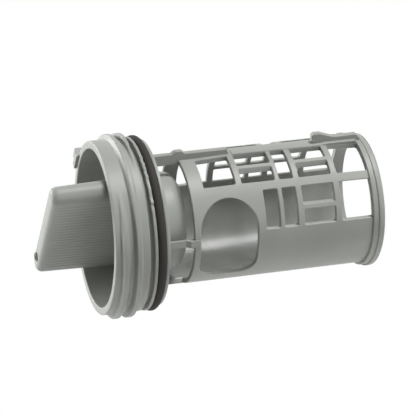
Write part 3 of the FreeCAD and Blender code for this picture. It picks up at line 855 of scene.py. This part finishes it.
def bevel_moves(outline, open_sides):
    """How far each point of an outline moves into the wall for the bevel along its cut edges."""
    ways = []
    for i, here in enumerate(outline):
        way = (Vector(outline[(i + 1) % len(outline)]) - Vector(here)).normalized()
        ways.append(None if open_sides[i] else Vector((-way.y, way.x)))
    moves = []
    for i, after in enumerate(ways):
        before = ways[i - 1]
        if before is None and after is None:
            moves.append(Vector((0, 0)))
        elif before is None or after is None:
            moves.append((before or after) * BEVEL)
        else:
            moves.append((before + after) * (BEVEL / max(SHARPEST_CORNER, 1 + before.dot(after))))
    return moves


def cage_wall(shell):
    """The cage's wall: outside and inside skins, cut edges between them, and bevels."""
    wall = CAGE_OUT - CAGE_IN
    half = arc_length(180.0)
    far, near = arc_length(GAP_FAR), arc_length(GAP_NEAR)
    border = subdivided([
        (-half, WALL_START), (far, WALL_START), (far, THROAT), (near, THROAT), (near, WALL_START),
        (half, WALL_START), (half, WALL_END), (-half, WALL_END),
    ])
    outlines = [border] + [hole if turned_way(hole) < 0 else hole[::-1] for hole in openings()]
    points, edges, moves, cut_edges = [], [], [], []
    for outline in outlines:
        first = len(points)
        count = len(outline)
        open_sides = [is_open(here, outline[(i + 1) % count]) for i, here in enumerate(outline)]
        sides = [(first + i, first + (i + 1) % count) for i in range(count)]
        edges += sides
        cut_edges += [side for side, left_open in zip(sides, open_sides) if not left_open]
        points += outline
        moves += bevel_moves(outline, open_sides)
    drawn = len(points)
    points += grid_spots(points, edges)
    moves += [Vector((0, 0)) for _ in range(len(points) - drawn)]
    faces, origins = spread(points, edges, outlines)

    def skin(number, depth, moved):
        """A point of the wall at a depth under the outside, on its outline or moved off it."""
        s = points[number][0] + (moves[number].x if moved else 0.0)
        x = points[number][1] + (moves[number].y if moved else 0.0)
        angle = math.degrees(s / CAGE_OUT)
        if depth > wall / 2:
            angle = inner_angle(angle)
        return polar(x, CAGE_OUT - depth + crown(angle, x), angle)

    outer = shell.add([skin(n, 0.0, True) for n in range(len(points))])
    inner = shell.add([skin(n, wall, True) for n in range(len(points))])
    for face in faces:
        shell.faces.append(tuple(outer[origins[i]] for i in face))
        shell.faces.append(tuple(inner[origins[i]] for i in reversed(face)))
    upper_rim = shell.add([skin(n, BEVEL, False) for n in range(drawn)])
    lower_rim = shell.add([skin(n, wall - BEVEL, False) for n in range(drawn)])
    for a, b in cut_edges:
        for top, under in ((outer, upper_rim), (upper_rim, lower_rim), (lower_rim, inner)):
            shell.faces.append((top[a], under[a], under[b], top[b]))


STEP_RADIUS = 22.1
STEP_REAR = 71.9
STEP_FLAT = 0.45
STEP_FLAT_FROM = 21.5
END_RADIUS = 22.6
OPEN_END = 73.9
END_FLAT = 0.9
END_FLAT_FROM = 22.11


def end_flat(radius):
    """How much the end ring is lowered at its top at a radius."""
    if radius > END_FLAT_FROM:
        return END_FLAT
    if radius > STEP_FLAT_FROM:
        return STEP_FLAT
    return 0.0


def end_ring(shell):
    """The step and the flange round the open end, welded to the wall."""
    outline = rounded([
        (WALL_END, CAGE_OUT, 0), (WALL_END, STEP_RADIUS, 0.3), (STEP_REAR, STEP_RADIUS, 0.1),
        (STEP_REAR, END_RADIUS, 0.3), (OPEN_END, END_RADIUS, 0.6), (OPEN_END, CAGE_IN, 0.3),
        (WALL_END, CAGE_IN, 0),
    ], closed=False)
    count = round(360.0 / TURN_STEP)
    rows = []
    for x, radius in outline:
        row = []
        for i in range(count):
            angle = -180.0 + i * TURN_STEP
            if radius < CAGE_IN + 0.5:
                angle = inner_angle(angle)
            top = max(0.0, math.cos(math.radians(angle))) ** 2
            row.append(polar(x, radius - end_flat(radius) * top, angle))
        rows.append(row)
    shell.rows(rows)


RING_FRONT = 0.08
RING_REAR = 1.18
RING_HOLE = 16.45
RING_RADIUS = 23.5


def front_ring(shell):
    """The thin ring behind the cap's flange that turns on the neck."""
    lathe(shell, rounded([
        (RING_FRONT, RING_HOLE, 0.2), (RING_REAR, RING_HOLE, 0.2),
        (RING_REAR, RING_RADIUS, 0.25), (RING_FRONT, RING_RADIUS, 0.25),
    ]))


SPINE_FRONT = 0.6
SPINE_REAR = 27.3
SPINE_FOOT = 19.7
SPINE_TOP = 23.4
SPINE_HALF = 1.0
SLOPE_FOOT = 20.6
SLOPE_TOP = 26.1
BUMP_FRONT = 7.6
BUMP_REAR = 12.1
BUMP_SLOPE = 1.1
BUMP_TOP = 24.3
STRIP_FAR = -8.7
STRIP_NEAR = 6.0
STRIP_TOP = 22.0
STRIP_STEP = 0.3
STRIP_FOOT = 20.7
STRIP_EDGE = 0.6
STRIP_SOFT = 0.2
RIB_HALF = 1.1
RIB_FRONT = 55.2
RIB_REAR = 71.85
RIB_FOOT = 20.4
NOSE_TOP = 25.35
BLOCK_TOP = 22.9
ARM_FRONT = 0.6
ARM_END = 11.7
ARM_INSIDE = -19.6
ARM_OUTSIDE = -20.3
ARM_PAD = -21.35
ARM_LOW = -0.8
ARM_HIGH = 1.7


def across_place(along, up, side):
    """A point of a rib drawn in the middle plane."""
    return along, side, up


def flat_place(along, side, up):
    """A point of a rib drawn from above."""
    return along, side, up


def spine(shell):
    """The spine over the gap and the first windows, with its bump."""
    outline = [
        (SPINE_FRONT, SPINE_FOOT), (SPINE_REAR, SPINE_FOOT),
        (SPINE_REAR, SLOPE_FOOT), (SLOPE_TOP, SPINE_TOP),
        (BUMP_REAR, SPINE_TOP), (BUMP_REAR - BUMP_SLOPE, BUMP_TOP),
        (BUMP_FRONT + BUMP_SLOPE, BUMP_TOP), (BUMP_FRONT, SPINE_TOP), (SPINE_FRONT, SPINE_TOP),
    ]
    prism(shell, outline, across_place, -SPINE_HALF, SPINE_HALF)


def top_strip(shell):
    """The strip along the cage's top, slightly raised between the spine and the locating rib."""
    ends = (
        (27.2, 21.5), (27.8, STRIP_TOP), (57.6, STRIP_TOP),
        (60.0, STRIP_TOP + STRIP_STEP), (70.0, STRIP_TOP + STRIP_STEP),
    )
    turns = [STRIP_FAR + (STRIP_NEAR - STRIP_FAR) * i / 8 for i in range(9)]
    turns = [min(max(turn, STRIP_FAR + STRIP_EDGE), STRIP_NEAR - STRIP_EDGE) for turn in turns]
    rows = []
    for along, radius in ends:
        loop = [polar(along, radius - STRIP_SOFT, STRIP_FAR)]
        loop += [polar(along, radius, turn) for turn in turns]
        loop += [polar(along, radius - STRIP_SOFT, STRIP_NEAR)]
        loop += [polar(along, STRIP_FOOT, STRIP_NEAR), polar(along, STRIP_FOOT, STRIP_FAR)]
        rows.append(loop)
    numbers = shell.rows(rows)
    shell.faces.append(tuple(numbers[0]))
    shell.faces.append(tuple(numbers[-1]))


def tongue(shell):
    """The locating rib with its raised nose, and the small block beside it."""
    outline = [
        (RIB_FRONT, 23.2), (56.4, 22.6), (56.6, RIB_FOOT), (RIB_REAR, RIB_FOOT),
        (RIB_REAR, 22.4), (70.5, 23.8), (63.8, 23.75), (62.1, 23.9),
        (58.0, NOSE_TOP), (55.9, NOSE_TOP), (RIB_FRONT, 24.8),
    ]
    prism(shell, outline, across_place, -RIB_HALF, RIB_HALF)
    block = [(65.2, 2.5), (67.4, 2.5), (67.4, 3.6), (65.2, 3.6)]
    prism(shell, block, flat_place, RIB_FOOT, BLOCK_TOP, SMALL_BEVEL)


def arm(shell):
    """The side arm from the front ring to the first band, with a thicker pad on the band."""
    outline = [
        (ARM_FRONT, ARM_OUTSIDE), (7.2, ARM_OUTSIDE), (8.6, ARM_PAD), (ARM_END, ARM_PAD),
        (ARM_END, ARM_INSIDE), (ARM_FRONT, ARM_INSIDE),
    ]
    prism(shell, outline, flat_place, ARM_LOW, ARM_HIGH, SMALL_BEVEL)


def build(name, parts, material, node, body):
    """Make one piece from its shapes; it stands for a CAD node and moves with a body."""
    shell = Shell()
    for part in parts:
        part(shell)
    made = shell.piece(name, material)
    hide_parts(node)
    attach(made, body)


for hidden, finish in (("threaded_cap", PLASTIC), ("filter_cage", PLASTIC), ("seal_ring", RUBBER)):
    dress(hidden, finish)

CAGE_PARTS = [cage_wall, end_ring, front_ring, spine, top_strip, tongue, arm]
build("cap", [cap_skin, grip, lug], PLASTIC, "threaded_cap", "cap")
build("seal", [seal_shape], RUBBER, "seal_ring", "cap")
build("cage", CAGE_PARTS, PLASTIC, "filter_cage", "cage")

scene.view_settings.view_transform = "Standard"
